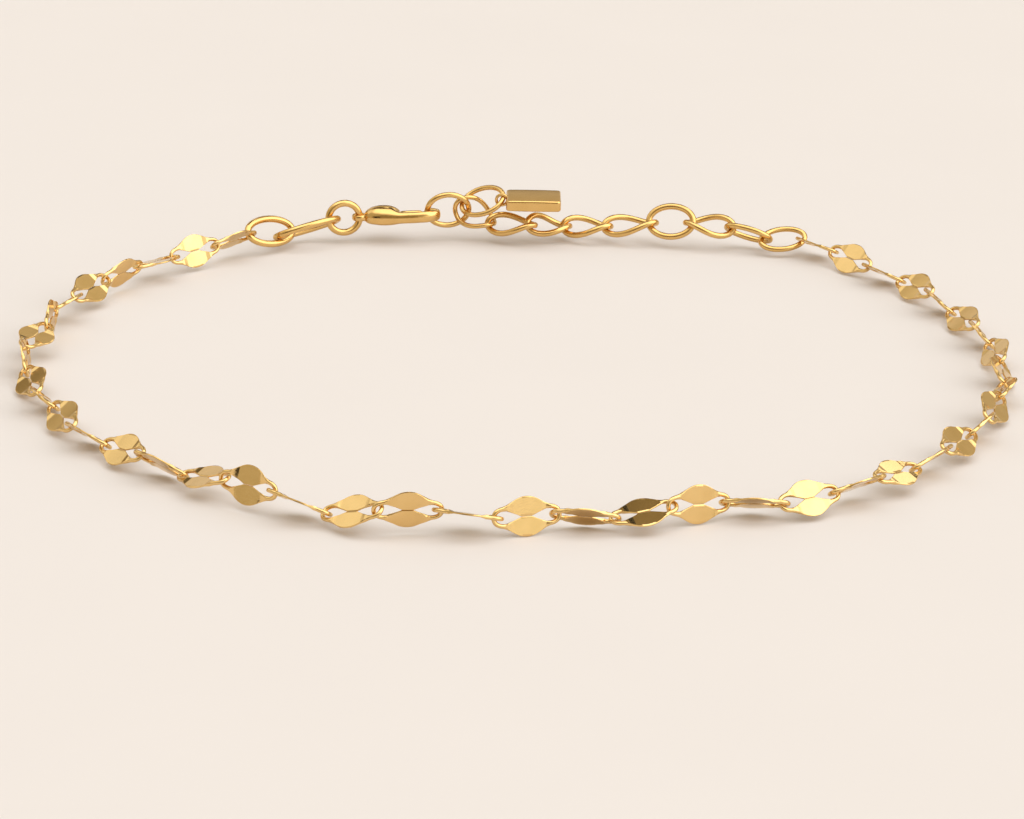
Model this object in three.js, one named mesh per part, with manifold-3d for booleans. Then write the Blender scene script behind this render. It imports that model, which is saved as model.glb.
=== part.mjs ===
// Chain bracelet with a lobster clasp and an extender, lying closed on a flat surface.
// Units are millimetres, +Z is up and the surface is the plane z = 0. The origin is the
// middle of the footprint. The front row of the chain runs along +X and the clasp is at +Y.
import * as THREE from "three";
import { ParametricGeometry } from "three/addons/geometries/ParametricGeometry.js";
import { mergeVertices } from "three/addons/utils/BufferGeometryUtils.js";
import Module from "manifold-3d";

const wasm = await Module();
wasm.setup();

// ---- driving dimensions ----
const PITCH = 3.7; // from link to link along the chain
const WIRE = 0.25; // lace-link wire, across
const WIRE_HALF = 0.115; // lace-link wire, half its height
const LOBE_HALF = 0.06; // half the thickness of the flattened lobes
const LOBE_REACH = 1.27; // from the link's axis to a lobe's tip
const LOOP_OUT = 2.24; // from the link's middle to the outside of its end loop

const CLASP_LENGTH = 6.9;
const CLASP_THICK = 1.05; // of the hook arm
const HOUSING = { x: 2.42, y: -0.12, z: 0.22, long: 2.5, wide: 2, thick: 1.44 }; // domed upwards
const TAIL_THICK = 0.72; // of the tail disc, and the length of the lever pin
const EYE_X = 0.56; // middle of the clasp's tail eye
const PIN = { x: 2.7, y: 0.3, r: 0.24, hole: 0.28 }; // lever pin
const SLOT = 0.44; // slot in the housing for the lever's tongue
const TONGUE = 0.34;
const LEVER_THICK = 0.56;
const TAG = { length: 4.3, width: 2.9, thick: 1, corner: 0.28 };
const TAG_EYE = { reach: 0.43, wire: 0.24 };

// ---- colours ----
const gold = (name) =>
  new THREE.MeshStandardMaterial({
    name,
    color: new THREE.Color(0.86, 0.66, 0.3),
    metalness: 1,
    roughness: name === "satin" ? 0.3 : 0.16,
  });
const bright = gold("bright");
const satin = gold("satin");

const root = new THREE.Group();
root.name = "bracelet";

// ---- helpers ----
const deg = THREE.MathUtils.degToRad;

// Frame of a piece: x along its own axis, y across it, z its face. heading turns it in the
// plan, slope lifts its far end, roll turns it about its own axis (0 lies flat, 90 stands).
function poseOf([x, y, z], heading, slope, roll) {
  const h = deg(heading);
  const s = deg(slope);
  const a = new THREE.Vector3(
    Math.cos(h) * Math.cos(s),
    Math.sin(h) * Math.cos(s),
    Math.sin(s),
  );
  const side = new THREE.Vector3(-Math.sin(h), Math.cos(h), 0);
  const up = new THREE.Vector3().crossVectors(a, side);
  const w = side
    .multiplyScalar(Math.cos(deg(roll)))
    .addScaledVector(up, Math.sin(deg(roll)));
  const n = new THREE.Vector3().crossVectors(a, w);
  return new THREE.Matrix4().makeBasis(a, w, n).setPosition(x, y, z);
}

function solid(geometry) {
  const g = geometry.clone();
  g.deleteAttribute("normal");
  g.deleteAttribute("uv");
  const merged = mergeVertices(g, 1e-4);
  return new wasm.Manifold(
    new wasm.Mesh({
      numProp: 3,
      vertProperties: merged.attributes.position.array,
      triVerts: new Uint32Array(merged.index.array),
    }),
  );
}

function geometryOf(manifold) {
  const m = manifold.getMesh();
  const g = new THREE.BufferGeometry();
  g.setAttribute("position", new THREE.BufferAttribute(m.vertProperties, 3));
  g.setIndex(new THREE.BufferAttribute(m.triVerts, 1));
  return g;
}

function place(name, geometry, pose, material = bright) {
  const mesh = new THREE.Mesh(geometry, material);
  mesh.name = name;
  mesh.applyMatrix4(pose);
  root.add(mesh);
  return mesh;
}

// A plate: an outline drawn by draw(shape), given a thickness about its middle plane with
// rounded-off edges, and holes as circles [x, y, r].
function plate(draw, thick, edge = 0, holes = [], curveSegments = 5) {
  const shape = new THREE.Shape();
  draw(shape);
  for (const [x, y, r] of holes) {
    const hole = new THREE.Path();
    hole.absarc(x, y, r, 0, Math.PI * 2, true);
    shape.holes.push(hole);
  }
  const g = new THREE.ExtrudeGeometry(shape, {
    depth: thick - 2 * edge,
    bevelEnabled: edge > 0,
    bevelThickness: edge,
    bevelSize: edge,
    bevelOffset: -edge,
    bevelSegments: 1,
    curveSegments,
  });
  return g.translate(0, 0, -thick / 2 + edge);
}

// ---- lace link ----
// One quarter of the link, from the tip of its end loop to the middle of its lobe. Each row
// is a section through the flattened wire: its inner and outer edge and half its height.
const LACE_SECTIONS = [
  { inX: LOOP_OUT - WIRE, inY: 0, outX: LOOP_OUT, outY: 0, half: WIRE_HALF },
  { inX: 1.84, inY: 0.29, outX: 2.02, outY: 0.48, half: WIRE_HALF },
  { inX: 1.27, inY: 0.4, outX: 1.31, outY: 0.73, half: WIRE_HALF },
  { inX: 0.93, inY: 0.21, outX: 0.95, outY: 0.92, half: LOBE_HALF },
  { inX: 0.45, inY: 0.04, outX: 0.48, outY: 1.17, half: LOBE_HALF },
  { inX: 0, inY: 0.025, outX: 0, outY: LOBE_REACH, half: LOBE_HALF },
];
function laceLink() {
  const last = LACE_SECTIONS.length - 1;
  const count = 4 * last;
  return new ParametricGeometry(
    (u, v, out) => {
      const k = Math.round(u * count) % count;
      const quarter = Math.floor(k / last);
      const step = k % last;
      const s = LACE_SECTIONS[quarter % 2 ? last - step : step];
      const sx = quarter === 0 || quarter === 3 ? 1 : -1;
      const sy = quarter < 2 ? 1 : -1;
      const corner = Math.round(v * 4) % 4;
      const outer = corner === 0 || corner === 3;
      out.set(
        sx * (outer ? s.outX : s.inX),
        sy * (outer ? s.outY : s.inY),
        (corner < 2 ? 1 : -1) * s.half,
      );
    },
    count,
    4,
  );
}
const LACE = laceLink();

// One row a link along the chain: heading, slope and roll, in degrees.
const CHAIN_START = new THREE.Vector3(-20.09, 31.63, 1.2);
// prettier-ignore
const CHAIN = [
  [226, 0.1, 44], [217.8, -4.1, 109], [230, 2.2, 13],
  [234.9, 0.4, 69], [243, -4.3, 142], [254.3, 5.3, 32],
  [268, 0.4, 92], [255.6, -1.7, 165], [277.9, -8.2, 103],
  [288.8, -2.1, 34], [296.6, 3.7, 140], [296.1, -0.6, 38],
  [314.2, -2.7, 141], [313.5, 7.1, 37], [325.4, -7.4, 134],
  [320.3, 12.5, 16], [328.3, 0.3, 82], [341.9, -14, 151],
  [334.2, 15.2, 33], [8, -2.5, 98], [356.4, -5.7, 158],
  [16.2, -1.1, 76], [359.6, -3.6, 134], [15.3, 7.8, 17],
  [23.5, -4.9, 78], [358.5, 0.5, 144], [27.3, 1.8, 41],
  [33.4, 3.1, 143], [44.9, -5.3, 20], [49.8, 3.1, 137],
  [56.1, -1.9, 33], [63.1, -2.3, 130], [69.9, 2.9, 43],
  [76.3, -4.9, 137], [86.6, 3.2, 42], [92.8, -1.4, 135],
  [99.2, 0.7, 44], [108.3, -3.6, 144], [109, 3.9, 38],
  [117.5, -3.7, 140], [127.6, 1.8, 29], [128.9, 3.1, 132],
  [127.5, -1.6, 26],
].map(([heading, slope, roll]) => ({ heading, slope, roll }));
{
  const joint = CHAIN_START.clone();
  CHAIN.forEach(({ heading, slope, roll }, i) => {
    const h = deg(heading);
    const s = deg(slope);
    const step = new THREE.Vector3(
      Math.cos(h) * Math.cos(s),
      Math.sin(h) * Math.cos(s),
      Math.sin(s),
    ).multiplyScalar(PITCH);
    const middle = joint.clone().addScaledVector(step, 0.5);
    place(
      "lace_link_" + String(i + 1).padStart(2, "0"),
      LACE,
      poseOf(middle.toArray(), heading, slope, roll),
      satin,
    );
    joint.add(step);
  });
}

// ---- rings ----
// A closed oval of round wire, length by width over the outside. twist turns its ends
// against each other about its long axis, as in a curb link.
function ringOf({ length, width, wire, twist = 0, steps = 16, sides = 6 }) {
  const a = (length - wire) / 2;
  const b = (width - wire) / 2;
  const t0 = deg(twist);
  const at = (t) => {
    const x = a * Math.cos(t);
    const y = b * Math.sin(t);
    const k = (t0 * x) / a;
    return new THREE.Vector3(x, y * Math.cos(k), y * Math.sin(k));
  };
  return new ParametricGeometry(
    (u, v, out) => {
      const t = (Math.round(u * steps) % steps) * ((2 * Math.PI) / steps);
      const p = at(t);
      const along = at(t + 0.01)
        .sub(at(t - 0.01))
        .normalize();
      const k = (t0 * p.x) / a;
      const face = new THREE.Vector3(0, -Math.sin(k), Math.cos(k));
      face.addScaledVector(along, -face.dot(along)).normalize();
      const side = new THREE.Vector3().crossVectors(along, face);
      const q = (Math.round(v * sides) % sides) * ((2 * Math.PI) / sides);
      out
        .copy(p)
        .addScaledVector(side, (wire / 2) * Math.cos(q))
        .addScaledVector(face, (wire / 2) * Math.sin(q));
    },
    steps,
    sides,
  );
}

// prettier-ignore
const RINGS = [
  { name: "end_oval",             at: [-18.74, 32.91, 1.1], heading: 41.2, slope: -6.2, roll: 50.5, length: 4.8, width: 2.65, wire: 0.54 },
  { name: "clasp_oval",           at: [-15.95, 34.15, 1.02], heading: 23.1, slope: 10.1, roll: 150.7, length: 5.69, width: 2.95, wire: 0.52 },
  { name: "clasp_jump_ring",      at: [-13.11, 35.33, 1.54], heading: 16.1, slope: -3.9, roll: 85, length: 3.03, width: 2.88, wire: 0.54 },
  { name: "extender_end_ring",    at: [-4.97, 36.35, 2.04], heading: 11.9, slope: -4.1, roll: 103.3, length: 3.76, width: 3.21, wire: 0.44 },
  { name: "tag_ring",             at: [-2.27, 36.56, 2.76], heading: -11, slope: 18.4, roll: 34.8, length: 3.88, width: 3.01, wire: 0.4 },
  { name: "extender_link_5",      at: [-2.83, 36.62, 1.69], heading: -10.2, slope: -22.8, roll: 42.8, length: 3.75, width: 2.76, wire: 0.38, twist: -45 },
  { name: "extender_link_4",      at: [0.03, 35.98, 1.08], heading: -10.4, slope: 2.6, roll: 24.7, length: 4.28, width: 2.35, wire: 0.48, twist: -45 },
  { name: "extender_link_3",      at: [2.95, 36.55, 0.9], heading: 21.3, slope: -8.8, roll: 23.6, length: 4.14, width: 2.35, wire: 0.48, twist: -45 },
  { name: "extender_link_2",      at: [6.01, 36.74, 0.79], heading: -5.5, slope: 3.2, roll: 18, length: 4.29, width: 2.35, wire: 0.48, twist: -45 },
  { name: "extender_link_1",      at: [9.42, 36.5, 1.07], heading: -1.7, slope: 6.5, roll: 16.4, length: 4.64, width: 2.35, wire: 0.48, twist: -45 },
  { name: "extender_broad_ring",  at: [12.64, 36.19, 1.52], heading: -12.6, slope: 3.7, roll: 56.4, length: 4.05, width: 3, wire: 0.51 },
  { name: "joining_link_2",       at: [15.66, 35.62, 1.46], heading: -4.3, slope: -4, roll: 23.9, length: 4.28, width: 2.35, wire: 0.48, twist: 45 },
  { name: "joining_link_1",       at: [18.71, 35.22, 1], heading: -9.7, slope: -13, roll: -39.6, length: 4, width: 2.34, wire: 0.46 },
  { name: "joining_oval",         at: [21.39, 34.76, 0.72], heading: 12.6, slope: 6.4, roll: 30.2, length: 4.005, width: 2.455, wire: 0.435 },
];
for (const r of RINGS)
  place(r.name, ringOf(r), poseOf(r.at, r.heading, r.slope, r.roll));

// ---- lobster clasp ----
// In the clasp's own plane: x from the tail eye to the hook's nose, +y the lever's side.
const CLASP_POSE = poseOf([-12.46, 35.64, 1.5], 4.84, 1.99, -4.5);
const HOOK = { front: -1.2, armIn: -0.66, back: 0.88, noseX: 5.62, holeX: 3.72 };
function drawBody(s) {
  s.moveTo(0.5, -0.5);
  s.lineTo(1.3, -0.98);
  s.quadraticCurveTo(2.2, -1.3, 3.6, HOOK.front);
  s.lineTo(5.4, HOOK.front + 0.04);
  s.quadraticCurveTo(CLASP_LENGTH, HOOK.front + 0.1, CLASP_LENGTH, 0);
  s.quadraticCurveTo(CLASP_LENGTH - 0.02, HOOK.back, 6.1, HOOK.back);
  s.lineTo(HOOK.noseX, HOOK.back - 0.04);
  s.lineTo(HOOK.noseX + 0.06, 0.4);
  s.quadraticCurveTo(6.54, 0.5, 6.55, -0.05);
  s.quadraticCurveTo(6.5, HOOK.armIn, 5.3, HOOK.armIn);
  s.lineTo(HOOK.holeX + 0.3, HOOK.armIn);
  s.quadraticCurveTo(HOOK.holeX, HOOK.armIn, HOOK.holeX, -0.2);
  s.lineTo(HOOK.holeX, 0.6);
  s.quadraticCurveTo(3.5, 1.02, 2.7, 1.04);
  s.quadraticCurveTo(1.7, 1.04, 1.2, 0.84);
  s.lineTo(0.5, 0.5);
}
function claspBody() {
  const tail = plate(
    (s) => s.absarc(EYE_X, 0, 0.62, 0, Math.PI * 2, false),
    TAIL_THICK,
    0.08,
  );
  const housing = plate(
    (s) =>
      s.absellipse(
        HOUSING.x,
        HOUSING.y,
        HOUSING.long / 2,
        HOUSING.wide / 2,
        0,
        Math.PI * 2,
        false,
        0,
      ),
    HOUSING.thick,
    0.3,
  ).translate(0, 0, HOUSING.z);
  const eye = plate((s) => s.absarc(EYE_X, 0, 0.39, 0, Math.PI * 2, false), 3);
  const slot = new THREE.BoxGeometry(3, 1.3, SLOT).translate(2.9, 0.47, 0);
  const pin = new THREE.CylinderGeometry(PIN.r, PIN.r, TAIL_THICK, 10)
    .rotateX(Math.PI / 2)
    .translate(PIN.x, PIN.y, 0);
  return solid(plate(drawBody, CLASP_THICK, 0.16, [], 4))
    .add(solid(tail))
    .add(solid(housing))
    .subtract(solid(eye))
    .subtract(solid(slot))
    .add(solid(pin));
}
place("clasp_body", geometryOf(claspBody()), CLASP_POSE);

function claspLever() {
  const tongue = plate(
    (s) => {
      s.moveTo(PIN.x - 0.35, PIN.y - 0.28);
      s.quadraticCurveTo(PIN.x, PIN.y - 0.52, PIN.x + 0.4, PIN.y - 0.2);
      s.lineTo(4, 0.36);
      s.lineTo(4, 0.8);
      s.lineTo(3.3, 0.86);
      s.lineTo(3.2, 1.3);
      s.lineTo(2.1, 1.3);
      s.closePath();
    },
    TONGUE,
    0,
    [],
    3,
  );
  const arm = plate(
    (s) => {
      s.moveTo(3.84, 0.36);
      s.lineTo(5.4, 0.44);
      s.lineTo(5.5, 0.62);
      s.lineTo(5.36, 0.84);
      s.lineTo(3.84, 0.84);
      s.closePath();
    },
    LEVER_THICK,
    0.1,
  );
  const nub = plate(
    (s) => {
      s.moveTo(1.95, 1.12);
      s.lineTo(3.35, 1.12);
      s.quadraticCurveTo(3.3, 1.52, 2.7, 1.54);
      s.quadraticCurveTo(2.0, 1.52, 1.95, 1.12);
    },
    LEVER_THICK,
    0.1,
    [],
    4,
  );
  const hole = new THREE.CylinderGeometry(PIN.hole, PIN.hole, 2, 12)
    .rotateX(Math.PI / 2)
    .translate(PIN.x, PIN.y, 0);
  return solid(tongue).add(solid(arm)).add(solid(nub)).subtract(solid(hole));
}
place("clasp_lever", geometryOf(claspLever()), CLASP_POSE);

// ---- tag ----
// A small blank plate with a soldered eye at its left end.
const TAG_POSE = poseOf([1.74, 36.18, 3], -0.33, 0.3, 1.53);
function tagSolid() {
  const l = TAG.length / 2;
  const w = TAG.width / 2;
  const c = TAG.corner;
  const body = plate(
    (s) => {
      s.moveTo(-l + c, -w);
      s.lineTo(l - c, -w);
      s.quadraticCurveTo(l, -w, l, -w + c);
      s.lineTo(l, w - c);
      s.quadraticCurveTo(l, w, l - c, w);
      s.lineTo(-l + c, w);
      s.quadraticCurveTo(-l, w, -l, w - c);
      s.lineTo(-l, -w + c);
      s.quadraticCurveTo(-l, -w, -l + c, -w);
    },
    TAG.thick,
    0.1,
    [],
    3,
  );
  const eye = new THREE.TorusGeometry(TAG_EYE.reach, TAG_EYE.wire / 2, 6, 14)
    .rotateX(Math.PI / 2)
    .translate(-l - TAG_EYE.reach + 0.06, -0.2, 0.1);
  return solid(body).add(solid(eye));
}
place("tag", geometryOf(tagSolid()), TAG_POSE);

// ---- stand the whole on its surface, centred on the origin ----
{
  root.updateMatrixWorld(true);
  const box = new THREE.Box3().setFromObject(root, true);
  root.position.set(
    -(box.min.x + box.max.x) / 2,
    -(box.min.y + box.max.y) / 2,
    -box.min.z,
  );
  root.updateMatrixWorld(true);
}

export default root;
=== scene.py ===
import math

import bpy
import numpy as np
from mathutils import Matrix, Vector

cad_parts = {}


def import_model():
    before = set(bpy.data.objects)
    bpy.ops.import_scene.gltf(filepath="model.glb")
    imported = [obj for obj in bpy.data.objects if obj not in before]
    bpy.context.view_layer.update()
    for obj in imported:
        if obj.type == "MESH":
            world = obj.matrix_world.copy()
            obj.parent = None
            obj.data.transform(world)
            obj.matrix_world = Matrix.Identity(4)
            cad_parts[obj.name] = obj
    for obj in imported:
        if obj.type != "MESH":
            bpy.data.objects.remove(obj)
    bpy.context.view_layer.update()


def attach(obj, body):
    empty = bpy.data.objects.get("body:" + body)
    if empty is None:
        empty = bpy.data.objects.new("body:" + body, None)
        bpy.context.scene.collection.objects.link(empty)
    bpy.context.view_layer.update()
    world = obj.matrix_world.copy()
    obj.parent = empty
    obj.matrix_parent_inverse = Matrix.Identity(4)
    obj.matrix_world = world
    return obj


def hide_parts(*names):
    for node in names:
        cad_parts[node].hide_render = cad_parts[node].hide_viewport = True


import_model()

MM = 0.001

# ---------------------------------------------------------------- sizes (mm)
OFFSET = np.array([-0.4070, -7.8653, 0.4824])  # middle of the footprint, from the chain's own frame
PITCH = 3.7
CHAIN_START = np.array([-20.09, 31.63, 1.2])
# heading, slope, roll of each lace link
CHAIN = [
    (226, 0.1, 44),
    (217.8, -4.1, 109),
    (230, 2.2, 13),
    (234.9, 0.4, 69),
    (243, -4.3, 142),
    (254.3, 5.3, 32),
    (268, 0.4, 92),
    (255.6, -1.7, 165),
    (277.9, -8.2, 103),
    (288.8, -2.1, 34),
    (296.6, 3.7, 140),
    (296.1, -0.6, 38),
    (314.2, -2.7, 141),
    (313.5, 7.1, 37),
    (325.4, -7.4, 134),
    (320.3, 12.5, 16),
    (328.3, 0.3, 82),
    (341.9, -14, 151),
    (334.2, 15.2, 33),
    (8, -2.5, 98),
    (356.4, -5.7, 158),
    (16.2, -1.1, 76),
    (359.6, -3.6, 134),
    (15.3, 7.8, 17),
    (23.5, -4.9, 78),
    (358.5, 0.5, 144),
    (27.3, 1.8, 41),
    (33.4, 3.1, 143),
    (44.9, -5.3, 20),
    (49.8, 3.1, 137),
    (56.1, -1.9, 33),
    (63.1, -2.3, 130),
    (69.9, 2.9, 43),
    (76.3, -4.9, 137),
    (86.6, 3.2, 42),
    (92.8, -1.4, 135),
    (99.2, 0.7, 44),
    (108.3, -3.6, 144),
    (109, 3.9, 38),
    (117.5, -3.7, 140),
    (127.6, 1.8, 29),
    (128.9, 3.1, 132),
    (127.5, -1.6, 26),
]
# name: (x, y, z), heading, slope, roll, length, width, wire, twist
RINGS = [
    ("end_oval", (-18.74, 32.91, 1.1), 41.2, -6.2, 50.5, 4.8, 2.65, 0.54, 0),
    ("clasp_oval", (-15.95, 34.15, 1.02), 23.1, 10.1, 150.7, 5.69, 2.95, 0.52, 0),
    ("clasp_jump_ring", (-13.11, 35.33, 1.54), 16.1, -3.9, 85, 3.03, 2.88, 0.54, 0),
    ("extender_end_ring", (-4.97, 36.35, 2.04), 11.9, -4.1, 103.3, 3.76, 3.21, 0.44, 0),
    ("tag_ring", (-2.27, 36.56, 2.76), -11, 18.4, 34.8, 3.88, 3.01, 0.4, 0),
    ("extender_link_5", (-2.83, 36.62, 1.69), -10.2, -22.8, 42.8, 3.75, 2.76, 0.38, -45),
    ("extender_link_4", (0.03, 35.98, 1.08), -10.4, 2.6, 24.7, 4.28, 2.35, 0.48, -45),
    ("extender_link_3", (2.95, 36.55, 0.9), 21.3, -8.8, 23.6, 4.14, 2.35, 0.48, -45),
    ("extender_link_2", (6.01, 36.74, 0.79), -5.5, 3.2, 18, 4.29, 2.35, 0.48, -45),
    ("extender_link_1", (9.42, 36.5, 1.07), -1.7, 6.5, 16.4, 4.64, 2.35, 0.48, -45),
    ("extender_broad_ring", (12.64, 36.19, 1.52), -12.6, 3.7, 56.4, 4.05, 3, 0.51, 0),
    ("joining_link_2", (15.66, 35.62, 1.46), -4.3, -4, 23.9, 4.28, 2.35, 0.48, 45),
    ("joining_link_1", (18.71, 35.22, 1), -9.7, -13, -39.6, 4, 2.34, 0.46, 0),
    ("joining_oval", (21.39, 34.76, 0.72), 12.6, 6.4, 30.2, 4.005, 2.455, 0.435, 0),
]
CLASP_POSE = ((-12.46, 35.64, 1.5), 4.84, 1.99, -4.5)
TAG_POSE = ((1.74, 36.18, 3), -0.33, 0.3, 1.53)


def pose(at, heading, slope, roll):
    """4x4 matrix in mm: x along the piece, y across it, z its face."""
    h, s, r = (math.radians(v) for v in (heading, slope, roll))
    a = np.array([math.cos(h) * math.cos(s), math.sin(h) * math.cos(s), math.sin(s)])
    side = np.array([-math.sin(h), math.cos(h), 0.0])
    up = np.cross(a, side)
    w = math.cos(r) * side + math.sin(r) * up
    m = np.eye(4)
    m[:3, 0], m[:3, 1], m[:3, 2] = a, w, np.cross(a, w)
    m[:3, 3] = np.array(at, float) + OFFSET
    return m


def link_poses():
    joint = CHAIN_START.copy()
    for heading, slope, roll in CHAIN:
        h, s = math.radians(heading), math.radians(slope)
        step = PITCH * np.array(
            [math.cos(h) * math.cos(s), math.sin(h) * math.cos(s), math.sin(s)]
        )
        yield pose(joint + step / 2, heading, slope, roll)
        joint = joint + step


# ---------------------------------------------------------------- mesh helpers
def make(name, verts, faces, matrix, material, node, body="bracelet", sharp=38):
    """A mesh object from points in mm in the piece's own frame."""
    v = np.asarray(verts, float)
    v = (v @ matrix[:3, :3].T + matrix[:3, 3]) * MM
    mesh = bpy.data.meshes.new(name)
    mesh.from_pydata(v.tolist(), [], [list(map(int, f)) for f in faces])
    mesh.validate()
    mesh.update()
    finish_mesh(mesh, sharp)
    mesh.materials.append(material)
    obj = bpy.data.objects.new(name, mesh)
    bpy.context.scene.collection.objects.link(obj)
    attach(obj, body)
    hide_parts(*([node] if isinstance(node, str) else node))
    return obj


def finish_mesh(mesh, sharp):
    mesh.polygons.foreach_set("use_smooth", [True] * len(mesh.polygons))
    mesh.set_sharp_from_angle(angle=math.radians(sharp))


def tube_faces(rows, cols, close_rows=True):
    """Quads of a grid of rows x cols points, closed round the columns."""
    i = np.arange(rows if close_rows else rows - 1)[:, None]
    j = np.arange(cols)[None, :]
    a = i * cols + j
    b = i * cols + (j + 1) % cols
    c = ((i + 1) % rows) * cols + (j + 1) % cols
    d = ((i + 1) % rows) * cols + j
    return np.stack([a, b, c, d], axis=-1).reshape(-1, 4)


def smooth01(t):
    t = np.clip(t, 0.0, 1.0)
    return t * t * (3 - 2 * t)


def hermite(points, n):
    """n points along a smooth curve through the given points."""
    p = np.asarray(points, float)
    m = np.gradient(p, axis=0)
    seg = len(p) - 1
    t = np.linspace(0, seg, n)
    k = np.minimum(t.astype(int), seg - 1)
    u = (t - k)[:, None]
    return (
        (2 * u**3 - 3 * u**2 + 1) * p[k]
        + (u**3 - 2 * u**2 + u) * m[k]
        + (-2 * u**3 + 3 * u**2) * p[k + 1]
        + (u**3 - u**2) * m[k + 1]
    )


# ---------------------------------------------------------------- lace link
WIRE_R = 0.142
NECK = 1.3
LOBE_H = 0.057
RAMP_END = 1.14  # where a ramp ends and the round wire comes out of it
RAMP_RISE = 0.072
REACH = 1.27
# middle of the wire from the end of the loop to the neck: x, y
LOOP = [(2.108, 0.0), (2.085, 0.165), (1.985, 0.335), (1.80, 0.46), (1.56, 0.525), (NECK, 0.53)]


def lace_quarter():
    """Rows of (inner x, y, outer x, y, wire share 1 = round wire) from loop end to middle."""
    rows = []
    c = hermite([(2.085, -0.165)] + LOOP, 80)
    # drop the lead-in that only sets the tangent at the end
    first = int(np.argmin(np.abs(c[:, 1]) + (c[:, 0] < 2) * 9))
    c = c[first:]
    idx = np.linspace(0, len(c) - 1, 20).round().astype(int)
    t = np.gradient(c, axis=0)
    t /= np.linalg.norm(t, axis=1)[:, None]
    t[0] = (0, 1)
    nrm = np.stack([t[:, 1], -t[:, 0]], 1)
    for k in idx:
        i = c[k] - WIRE_R * nrm[k]
        o = c[k] + WIRE_R * nrm[k]
        if o[0] < 1.74:
            o[1] = max(o[1], lobe_outer(o[0]))  # the flat runs out along the wire
        rows.append((i[0], i[1], o[0], o[1], 1.0))
    for x in ROWS_X:
        rows.append((x, lobe_inner(x), x, lobe_outer(x), 0.0))
    return rows


ROWS_X = (1.285, 1.26, 1.23, 1.2, 1.17, 1.14, 1.11, 1.08, 1.04, 1.0, 0.96, 0.92, 0.88, 0.84, 0.81, 0.78, 0.75,
          0.72, 0.69, 0.65, 0.6, 0.54, 0.47, 0.4, 0.33, 0.27, 0.2, 0.13, 0.06, 0.0)


def lobe_outer(x):
    """Round tip, full shoulders, then a hollow run out to the wire."""
    return float(np.interp(x, OUT_X, OUT_Y))


def lobe_inner(x):
    """The lobes touch along a seam in the middle and part round the small windows."""
    u = np.clip((x - 0.36) / (NECK - 0.36), 0, 1)
    return 0.004 + 0.391 * float(u) ** 0.9


_k = hermite([(-0.2, 1.262), (0.0, 1.27), (0.2, 1.257), (0.4, 1.215), (0.6, 1.14), (0.8, 1.035),
              (1.0, 0.92), (1.15, 0.835), (1.3, 0.762), (1.45, 0.705), (1.6, 0.665), (1.75, 0.64)], 300)
OUT_X, OUT_Y = _k[:, 0], _k[:, 1]


QUARTER = lace_quarter()


# hand-made differences of single links: rock and fold of the lobes in degrees
LEAN = {17: (-8.5, 0.0), 19: (0.0, 3.0), 20: (1.0, -5.0), 22: (0.0, 1.5), 12: (0.0, 1.0), 23: (0.0, 4.0)}


# ramps of single links: where each of the four starts, and how sharply (1 = a flat facet),
# in the order +x+y, -x+y, -x-y, +x-y
RAMPS = {
    24: ((1.0, 0.8, 0.79, 1.0), (1.0, 1.0, 1.0, 1.0)),
    17: ((1.0, 0.7, 0.84, 1.0), (1.0, 1.0, 1.0, 1.0)),
    22: ((1.0, 0.82, 0.82, 1.0), (1.0, 1.0, 1.0, 1.0)),
    25: ((0.7, 0.86, 0.86, 0.7), (1.7, 1.0, 1.0, 1.7)),
    16: ((0.9, 0.81, 0.81, 0.9), (1.0, 1.0, 1.0, 1.0)),
    8: ((0.85, 0.7, 0.7, 0.85), (1.0, 1.0, 1.0, 1.0)),
}


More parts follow.
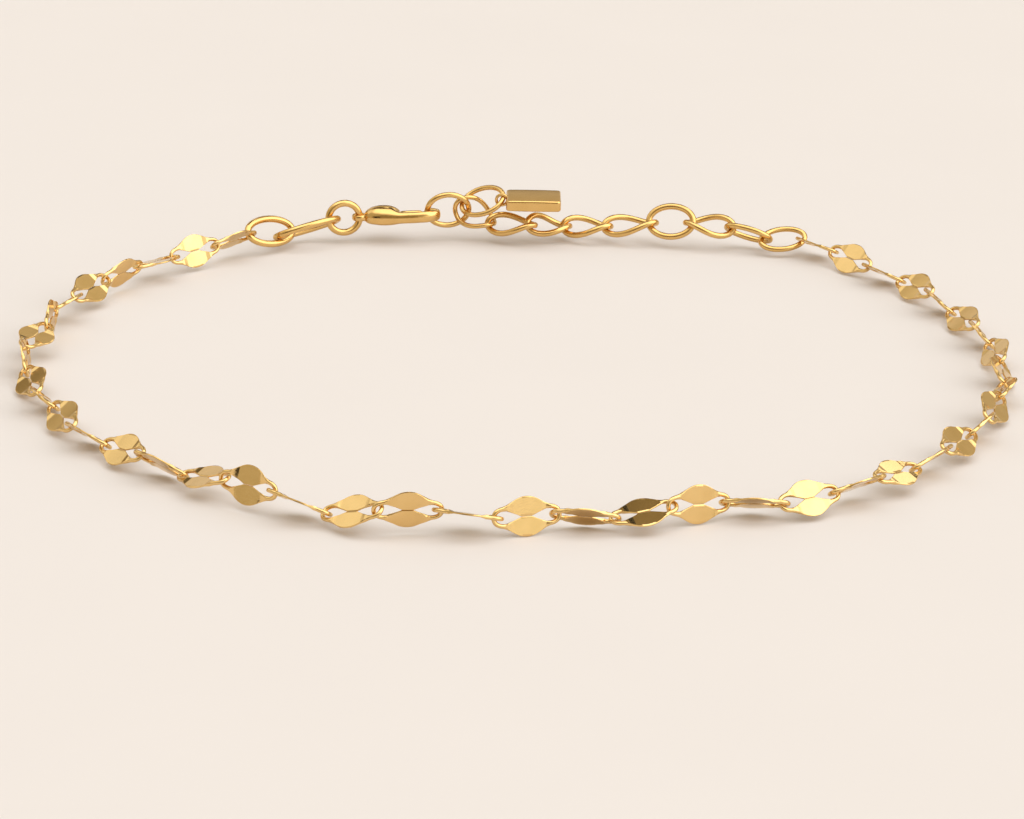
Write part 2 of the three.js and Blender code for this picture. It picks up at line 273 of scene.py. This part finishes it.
def lace_link(seed):
    """Points and faces of one lace link: round wire loops, hammered-flat lobes whose ends
    ramp up to the wire. seed varies the hand-made differences."""
    rng = np.random.default_rng(1000 + seed)
    across = 8  # points over the flat of a lobe, between its rounded edges
    rim = 5
    ends = np.linspace(90, -90, rim)
    last = len(QUARTER) - 1
    count = 4 * last
    cols = 2 * (rim + across)
    bow = rng.normal(0, 0.008, 2)  # each lobe is bowed a little
    rock, fold = LEAN.get(seed + 1, (rng.normal(0, 0.7), rng.normal(0, 1.0)))
    fan = rng.uniform(0.78, 0.88, 4)  # where each ramp starts
    power = rng.uniform(1.0, 1.15, 4)
    if seed + 1 in RAMPS:
        fan, power = RAMPS[seed + 1]
    verts = np.zeros((count, cols, 3))
    circ = np.linspace(0, 360, cols, endpoint=False)
    for k in range(count):
        quarter, step = divmod(k, last)
        row = QUARTER[last - step if quarter % 2 else step]
        sx = 1 if quarter in (0, 3) else -1
        sy = 1 if quarter < 2 else -1
        ix, iy, ox, oy, wire = row
        inner, outer = np.array([ix, iy]), np.array([ox, oy])
        mid, half = (inner + outer) / 2, (outer - inner) / 2
        width = np.linalg.norm(half)
        d = half / width
        # flat-topped next to the lobes, round towards the end of the loop
        g = smooth01((abs(mid[0]) - RAMP_END - 0.06) / 0.4)
        u = np.clip((abs(mid[0]) - fan[quarter]) / (RAMP_END - fan[quarter]), 0, 1)
        h = LOBE_H + (RAMP_RISE * u ** power[quarter] if fan[quarter] < 0.98 else 0)
        e = min(h, width * 0.98, 0.036 + 0.02 * u)
        pts = []
        for a in ends:  # outer rim, top to bottom
            r = math.radians(a)
            pts.append((width - e + e * math.cos(r), h * math.sin(r)))
        for t in np.linspace(1, -1, across + 2)[1:-1]:
            pts.append(((width - e) * t, -h))
        for a in ends[::-1]:  # inner rim
            r = math.radians(a)
            pts.append((-(width - e) - e * math.cos(r), h * math.sin(r)))
        for t in np.linspace(-1, 1, across + 2)[1:-1]:
            pts.append(((width - e) * t, h))
        ang = np.radians(circ - 360 * (rim - 1) / 2 / cols)
        round_pts = np.stack([np.cos(ang) * width, -np.sin(ang) * WIRE_R], 1)
        flat = (1 - g) * np.array(pts) + g * round_pts
        pts = [(mid[0] + d[0] * a, mid[1] + d[1] * a, z) for a, z in flat]
        p = np.array(pts)
        p[:, 0] *= sx
        p[:, 1] *= sy
        if wire <= 0.5:
            lobe = 0 if sy > 0 else 1
            fade = 1 - smooth01((abs(ix) - 0.75) / (NECK - 0.75))
            p[:, 2] += fade * bow[lobe] * (1 - (p[:, 0] / 0.9) ** 2)
            p[:, 2] += fade * (math.tan(math.radians(rock)) * p[:, 1] + math.tan(math.radians(fold / 2)) * np.abs(p[:, 1]))
        verts[k] = p
    return verts.reshape(-1, 3), tube_faces(count, cols)


# ---------------------------------------------------------------- rings
def ring(length, width, wire, twist=0.0, rows=112, cols=22, flat=0.0):
    a, b, r = (length - wire) / 2, (width - wire) / 2, wire / 2
    t = np.linspace(0, 2 * math.pi, rows, endpoint=False)
    x, y = a * np.cos(t), b * np.sin(t)
    k = np.radians(twist) * np.cos(t)
    c = np.stack([x, y * np.cos(k), y * np.sin(k)], 1)
    tan = np.roll(c, -1, 0) - np.roll(c, 1, 0)
    tan /= np.linalg.norm(tan, axis=1)[:, None]
    # the wire's own upright, turned with the twist
    up = np.stack([0 * k, -np.sin(k), np.cos(k)], 1)
    side = np.cross(tan, up)
    side /= np.linalg.norm(side, axis=1)[:, None]
    up = np.cross(side, tan)
    ang = np.linspace(0, 2 * math.pi, cols, endpoint=False)
    ca, sa = np.cos(ang) * r, np.sin(ang) * r * (1 - flat)
    v = c[:, None] + ca[None, :, None] * side[:, None] + sa[None, :, None] * up[:, None]
    return v.reshape(-1, 3), tube_faces(rows, cols)[:, ::-1]


# ---------------------------------------------------------------- blended solids
def smooth_min(a, b, k):
    h = np.clip(0.5 + 0.5 * (b - a) / k, 0, 1)
    return b + (a - b) * h - k * h * (1 - h)


def smooth_max(a, b, k):
    return -smooth_min(-a, -b, k)


def box_field(p, middle, half, round_by=0.0):
    q = np.abs(p - np.array(middle)) - (np.array(half) - round_by)
    out = np.linalg.norm(np.maximum(q, 0), axis=-1)
    return out + np.minimum(q.max(-1), 0) - round_by


def ellipsoid_field(p, middle, half, power=2.0):
    q = np.abs(p - np.array(middle)) / np.array(half)
    r = (q[..., 0] ** power + q[..., 1] ** power + q[..., 2] ** 2) ** 0.5
    return (r - 1) * min(half)


def torus_field(p, middle, reach, wire, axis=2):
    q = p - np.array(middle)
    a, b = [i for i in range(3) if i != axis]
    return np.hypot(np.hypot(q[..., a], q[..., b]) - reach, q[..., axis]) - wire


def sweep_field(p, rows, n=90):
    """A swept elliptical section. rows: x, y, half width in the plane, half height."""
    c = hermite(rows, n)
    shape = p.shape[:-1]
    q = p.reshape(-1, 3)
    out = np.empty(len(q))
    for lo in range(0, len(q), 40000):
        s = q[lo : lo + 40000]
        a, b = c[:-1, :2], c[1:, :2]
        d = b - a
        u = ((s[:, None, :2] - a) * d).sum(-1) / (d * d).sum(-1)
        u = np.clip(u, 0, 1)
        near = a + u[..., None] * d
        dist = np.linalg.norm(s[:, None, :2] - near, axis=-1)
        wide = c[:-1, 2] + u * (c[1:, 2] - c[:-1, 2])
        k = (dist - wide).argmin(1)
        i = np.arange(len(s))
        w = wide[i, k]
        h = c[k, 3] + u[i, k] * (c[k + 1, 3] - c[k, 3])
        out[lo : lo + 40000] = (np.hypot(dist[i, k] / w, s[:, 2] / h) - 1) * np.minimum(w, h)
    return out.reshape(shape)


def surface(field, low, high, step):
    """Points and quads of the zero surface of a field, moved exactly onto it."""
    low, high = np.array(low, float), np.array(high, float)
    n = np.ceil((high - low) / step).astype(int) + 1
    axes = [low[i] + step * np.arange(n[i]) for i in range(3)]
    g = np.stack(np.meshgrid(*axes, indexing="ij"), -1)
    f = field(g)
    inside = f < 0
    cells = tuple(m - 1 for m in f.shape)
    total = np.zeros(cells + (3,))
    count = np.zeros(cells)
    corner = [(i, j, k) for i in (0, 1) for j in (0, 1) for k in (0, 1)]

    def part(a, c):
        return a[c[0] : c[0] + cells[0], c[1] : c[1] + cells[1], c[2] : c[2] + cells[2]]

    for c in corner:
        for axis in range(3):
            if c[axis]:
                continue
            e = list(c)
            e[axis] = 1
            fa, fb = part(f, c), part(f, e)
            cross = part(inside, c) != part(inside, e)
            with np.errstate(divide="ignore", invalid="ignore"):
                t = np.where(cross, fa / (fa - fb), 0)
            pos = part(g, c) + t[..., None] * (part(g, e) - part(g, c))
            total += np.where(cross[..., None], pos, 0)
            count += cross
    active = count > 0
    index = np.full(cells, -1)
    index[active] = np.arange(active.sum())
    v = total[active] / count[active][:, None]
    faces = []
    for axis in range(3):
        b, c = [(1, 2), (2, 0), (0, 1)][axis]
        lo = [slice(None)] * 3
        hi = [slice(None)] * 3
        lo[axis], hi[axis] = slice(0, -1), slice(1, None)
        s0, s1 = inside[tuple(lo)], inside[tuple(hi)]
        at = np.argwhere(s0 != s1)
        at = at[(at[:, b] > 0) & (at[:, c] > 0) & (at[:, b] < cells[b]) & (at[:, c] < cells[c])]
        first = s0[tuple(at.T)]
        quad = []
        for db, dc in ((-1, -1), (0, -1), (0, 0), (-1, 0)):
            m = at.copy()
            m[:, b] += db
            m[:, c] += dc
            quad.append(index[tuple(m.T)])
        quad = np.stack(quad, 1)
        quad[~first] = quad[~first][:, ::-1]
        faces.append(quad)
    faces = np.concatenate(faces)
    for _ in range(6):
        e = 1e-4
        f0 = field(v)
        grad = np.stack([(field(v + e * d) - f0) / e for d in np.eye(3)], -1)
        move = (f0 / np.maximum((grad**2).sum(-1), 1e-6))[:, None] * grad
        length = np.linalg.norm(move, axis=1, keepdims=True)
        v = v - move * np.minimum(1, 0.4 * step / np.maximum(length, 1e-12))
    return v, faces


# ---------------------------------------------------------------- clasp and tag
PIN = (2.7, 0.3)


def body_field(p):
    """Hollow-backed lobster hook: puffy housing, front arm, nose and a tail eye."""
    housing = ellipsoid_field(p, (2.36, -0.2, 0.05), (1.5, 0.96, 0.86), 2.2)
    housing = smooth_max(housing, -0.5 - p[..., 2], 0.16)
    arm = sweep_field(
        p,
        [
            (2.3, -0.62, 0.44, 0.5),
            (3.2, -0.84, 0.35, 0.46),
            (4.2, -0.89, 0.32, 0.45),
            (5.2, -0.86, 0.32, 0.45),
            (6.0, -0.7, 0.31, 0.45),
            (6.66, -0.28, 0.21, 0.42),
            (6.68, 0.22, 0.2, 0.38),
            (6.25, 0.6, 0.25, 0.37),
            (5.86, 0.68, 0.21, 0.32),
        ],
    )
    f = smooth_min(housing, arm, 0.3)
    neck = sweep_field(p, [(0.9, 0, 0.22, 0.24), (1.2, 0, 0.36, 0.36), (1.7, -0.02, 0.6, 0.46)], 30)
    f = smooth_min(f, neck, 0.12)
    eye = torus_field(p / np.array([1, 1, 2.0]), (0.56, 0, 0), 0.505, 0.118)
    f = smooth_min(f, eye, 0.08)
    slot = box_field(p, (3.0, 0.75, 0), (1.45, 0.95, 0.215), 0.03)
    f = smooth_max(f, -slot, 0.05)
    pin = np.hypot(p[..., 0] - PIN[0], p[..., 1] - PIN[1]) - 0.235
    pin = np.maximum(pin, np.abs(p[..., 2]) - 0.4)
    return np.minimum(f, pin)


def lever_field(p):
    tongue = sweep_field(p, [(2.45, 0.5, 0.36, 0.17), (2.9, 0.5, 0.42, 0.17), (3.6, 0.55, 0.3, 0.17), (4.1, 0.6, 0.23, 0.17)], 40)
    tongue = smooth_max(tongue, np.abs(p[..., 2]) - 0.165, 0.03)
    bar = sweep_field(p, [(3.95, 0.62, 0.19, 0.2), (4.6, 0.63, 0.2, 0.22), (5.2, 0.63, 0.19, 0.21), (5.42, 0.63, 0.13, 0.17)], 40)
    f = smooth_min(tongue, bar, 0.08)
    stem = sweep_field(p, [(2.55, 0.6, 0.34, 0.165), (2.6, 1.0, 0.38, 0.165), (2.65, 1.3, 0.42, 0.165)], 30)
    stem = smooth_max(stem, np.abs(p[..., 2]) - 0.165, 0.03)
    f = smooth_min(f, stem, 0.08)
    nub = ellipsoid_field(p, (2.65, 1.32, 0), (0.7, 0.2, 0.38), 2.4)
    f = smooth_min(f, nub, 0.06)
    hole = np.hypot(p[..., 0] - PIN[0], p[..., 1] - PIN[1]) - 0.275
    return np.maximum(f, -hole)


TAG_L, TAG_W, TAG_T = 4.3, 2.9, 1.0


def tag_field(p):
    """A small blank plate with soft edges and a soldered eye."""
    l, w = TAG_L / 2, TAG_W / 2
    c = 0.3
    q = np.abs(p[..., :2]) - (np.array([l, w]) - c)
    plan = np.linalg.norm(np.maximum(q, 0), axis=-1) + np.minimum(q.max(-1), 0) - c
    t = TAG_T / 2 * (1 - 0.05 * (p[..., 0] / l) ** 2 - 0.10 * (p[..., 1] / w) ** 2)
    plate = smooth_max(plan, np.abs(p[..., 2]) - t, 0.2)
    eye = torus_field(p, (-l - 0.34, -0.2, 0.1), 0.43, 0.12, 1)
    return smooth_min(plate, eye, 0.06)


# ---------------------------------------------------------------- materials
def node(tree, kind, **values):
    n = tree.nodes.new(kind)
    for key, value in values.items():
        if key in n.inputs:
            n.inputs[key].default_value = value
        else:
            setattr(n, key, value)
    return n


def gold(name, base, rough, grain, grain_scale, wear=0.0):
    """Plated metal: base colour drifting a little, fine grain in the roughness and a very
    shallow bump."""
    m = bpy.data.materials.new(name)
    m.use_nodes = True
    t = m.node_tree
    t.nodes.clear()
    out = node(t, "ShaderNodeOutputMaterial")
    b = node(t, "ShaderNodeBsdfPrincipled")
    b.inputs["Metallic"].default_value = 1.0
    co = node(t, "ShaderNodeTexCoord")
    drift = node(t, "ShaderNodeTexNoise", Scale=900.0, Detail=3.0)
    t.links.new(co.outputs["Object"], drift.inputs["Vector"])
    ramp = node(t, "ShaderNodeValToRGB")
    ramp.color_ramp.elements[0].position = 0.3
    ramp.color_ramp.elements[1].position = 0.7
    lo = [c * 0.93 for c in base]
    ramp.color_ramp.elements[0].color = (lo[0], lo[1] * 0.985, lo[2] * 0.93, 1)
    ramp.color_ramp.elements[1].color = (*base, 1)
    t.links.new(drift.outputs["Fac"], ramp.inputs["Fac"])
    t.links.new(ramp.outputs["Color"], b.inputs["Base Color"])
    fine = node(t, "ShaderNodeTexNoise", Scale=grain_scale, Detail=2.0)
    t.links.new(co.outputs["Object"], fine.inputs["Vector"])
    mr = node(t, "ShaderNodeMapRange")
    mr.inputs["To Min"].default_value = rough * 0.75
    mr.inputs["To Max"].default_value = rough * 1.3
    t.links.new(fine.outputs["Fac"], mr.inputs["Value"])
    t.links.new(mr.outputs["Result"], b.inputs["Roughness"])
    bump = node(t, "ShaderNodeBump", Strength=grain, Distance=0.00001)
    t.links.new(fine.outputs["Fac"], bump.inputs["Height"])
    t.links.new(bump.outputs["Normal"], b.inputs["Normal"])
    t.links.new(b.outputs["BSDF"], out.inputs["Surface"])
    return m


# Gold of the rings, clasp and tag: a deeper, more orange gold than the lace links, and in part painted shade.
# It is darkened so the lower halves of the wires read as darker amber, standing in for the shadowed floor
# they reflect.
RING_GOLD_PART_SHADE = (0.78, 0.5, 0.185)
satin = gold("satin_gold", (0.83, 0.565, 0.24), 0.14, 0.4, 9000.0)
bright = gold("bright_gold", RING_GOLD_PART_SHADE, 0.17, 0.25, 5000.0)

# ---------------------------------------------------------------- pieces
for i, m in enumerate(link_poses()):
    n = f"lace_link_{i + 1:02d}"
    v, f = lace_link(i)
    make("visual_" + n, v, f, m, satin, n, sharp=34)

for name, at, h, s, r, length, width, wire, twist in RINGS:
    v, f = ring(length, width, wire, twist)
    make("visual_" + name, v, f, pose(at, h, s, r), bright, name, sharp=60)

clasp_at, tag_at = pose(*CLASP_POSE), pose(*TAG_POSE)
v, f = surface(body_field, (-0.25, -1.4, -0.75), (7.05, 1.2, 1.05), 0.045)
make("visual_clasp_body", v, f, clasp_at, bright, "clasp_body", sharp=48)
v, f = surface(lever_field, (1.7, -0.1, -0.5), (5.75, 1.65, 0.5), 0.035)
make("visual_clasp_lever", v, f, clasp_at, bright, "clasp_lever", body="lever", sharp=48)
v, f = surface(tag_field, (-3.1, -1.6, -0.65), (2.3, 1.6, 0.7), 0.045)
make("visual_tag", v, f, tag_at, bright, "tag", sharp=48)

# ---------------------------------------------------------------- floor
def floor():
    m = bpy.data.materials.new("pale_surface")
    m.use_nodes = True
    t = m.node_tree
    b = t.nodes["Principled BSDF"]
    b.inputs["Roughness"].default_value = 0.7
    b.inputs["Specular IOR Level"].default_value = 0.25
    co = node(t, "ShaderNodeTexCoord")
    n1 = node(t, "ShaderNodeTexNoise", Scale=60.0, Detail=4.0)
    t.links.new(co.outputs["Object"], n1.inputs["Vector"])
    ramp = node(t, "ShaderNodeValToRGB")
    ramp.color_ramp.elements[0].color = (0.697, 0.652, 0.633, 1)
    ramp.color_ramp.elements[1].color = (0.715, 0.67, 0.65, 1)
    t.links.new(n1.outputs["Fac"], ramp.inputs["Fac"])
    t.links.new(ramp.outputs["Color"], b.inputs["Base Color"])
    mesh = bpy.data.meshes.new("floor")
    s = 1.5
    mesh.from_pydata([(-s, -s, 0), (s, -s, 0), (s, s, 0), (-s, s, 0)], [], [(0, 1, 2, 3)])
    mesh.materials.append(m)
    o = bpy.data.objects.new("floor", mesh)
    bpy.context.scene.collection.objects.link(o)


floor()


# ---------------------------------------------------------------- light
def direction(azimuth, elevation):
    """Azimuth from +Y (away from the camera) towards +X."""
    a, e = math.radians(azimuth), math.radians(elevation)
    return (math.sin(a) * math.cos(e), math.cos(a) * math.cos(e), math.sin(e))


def world():
    w = bpy.data.worlds.new("studio")
    bpy.context.scene.world = w
    w.use_nodes = True
    t = w.node_tree
    t.nodes.clear()
    out = node(t, "ShaderNodeOutputWorld")
    bg = node(t, "ShaderNodeBackground")
    co = node(t, "ShaderNodeTexCoord")
    nrm = node(t, "ShaderNodeVectorMath", operation="NORMALIZE")
    t.links.new(co.outputs["Generated"], nrm.inputs[0])
    value = None
    base = (0.60, 0.54, 0.41)
    last = node(t, "ShaderNodeRGB")
    last.outputs[0].default_value = (*base, 1)
    last = last.outputs[0]
    for az, el, inner, outer, colour, power in PANELS:
        dot = node(t, "ShaderNodeVectorMath", operation="DOT_PRODUCT")
        dot.inputs[1].default_value = direction(az, el)
        t.links.new(nrm.outputs[0], dot.inputs[0])
        mr = node(t, "ShaderNodeMapRange", interpolation_type="SMOOTHSTEP")
        mr.inputs["From Min"].default_value = math.cos(math.radians(outer))
        mr.inputs["From Max"].default_value = math.cos(math.radians(inner))
        t.links.new(dot.outputs["Value"], mr.inputs["Value"])
        mix = node(t, "ShaderNodeMix", data_type="RGBA")
        t.links.new(mr.outputs["Result"], mix.inputs[0])
        t.links.new(last, mix.inputs[6])
        mix.inputs[7].default_value = (*[c * power for c in colour], 1)
        last = mix.outputs[2]
    t.links.new(last, bg.inputs["Color"])
    bg.inputs["Strength"].default_value = 1.0
    t.links.new(bg.outputs[0], out.inputs["Surface"])


# azimuth, elevation, full to, gone at (degrees from the middle), colour, brightness
PANELS = [
    (120, 84, 22, 48, (1, 0.985, 0.96), 2.1),
    (-1, 61, 9, 15, (1, 0.82, 0.50), 0.29),
    (-68, 42, 12, 28, (1, 0.98, 0.90), 1.15),
    (135, 0, 14, 32, (1, 0.98, 0.90), 1.15),
    (105, 36, 20, 38, (1, 0.985, 0.95), 2.5),
    (-20, 18, 6, 16, (1, 0.95, 0.92), 0.82),
    (-38, 15, 4, 10, (1, 0.80, 0.45), 0.28),
    (27, 34, 4, 9, (1, 0.985, 0.95), 1.9),
    (22, 48, 8, 10.5, (1, 0.8, 0.5), 0.02),
    (0, 2, 8, 14, (1, 0.8, 0.5), 0.05),
    (-20, 50, 8, 16, (1, 0.8, 0.5), 0.12),
    (180, 18, 11, 25, (1, 0.84, 0.55), 0.34),
    (-158, 7, 9, 17, (1, 0.8, 0.5), 0.04),
    (6, 48, 2.5, 5.5, (1, 0.985, 0.95), 1.9),
]
world()

# ---------------------------------------------------------------- camera
cam = bpy.data.cameras.new("camera")
cam.sensor_width = 36
cam.lens = 3000 / 1024 * 36
cam.clip_start = 0.01
cam.clip_end = 20
camera = bpy.data.objects.new("camera", cam)
right = Vector((0.99976, -0.00058, 0.02211)).normalized()
forward = Vector((0.0087, 0.9295, -0.36873)).normalized()
right = (right - forward * right.dot(forward)).normalized()
up = right.cross(forward)
rot = Matrix((right, up, -forward)).transposed().to_4x4()
eye = (np.array([-1.67, -189.39, 74.77]) + OFFSET) * MM
camera.matrix_world = Matrix.Translation(Vector(eye)) @ rot
bpy.context.scene.collection.objects.link(camera)
bpy.context.scene.camera = camera
bpy.context.scene.view_settings.view_transform = "Standard"
bpy.context.scene.view_settings.look = "None"
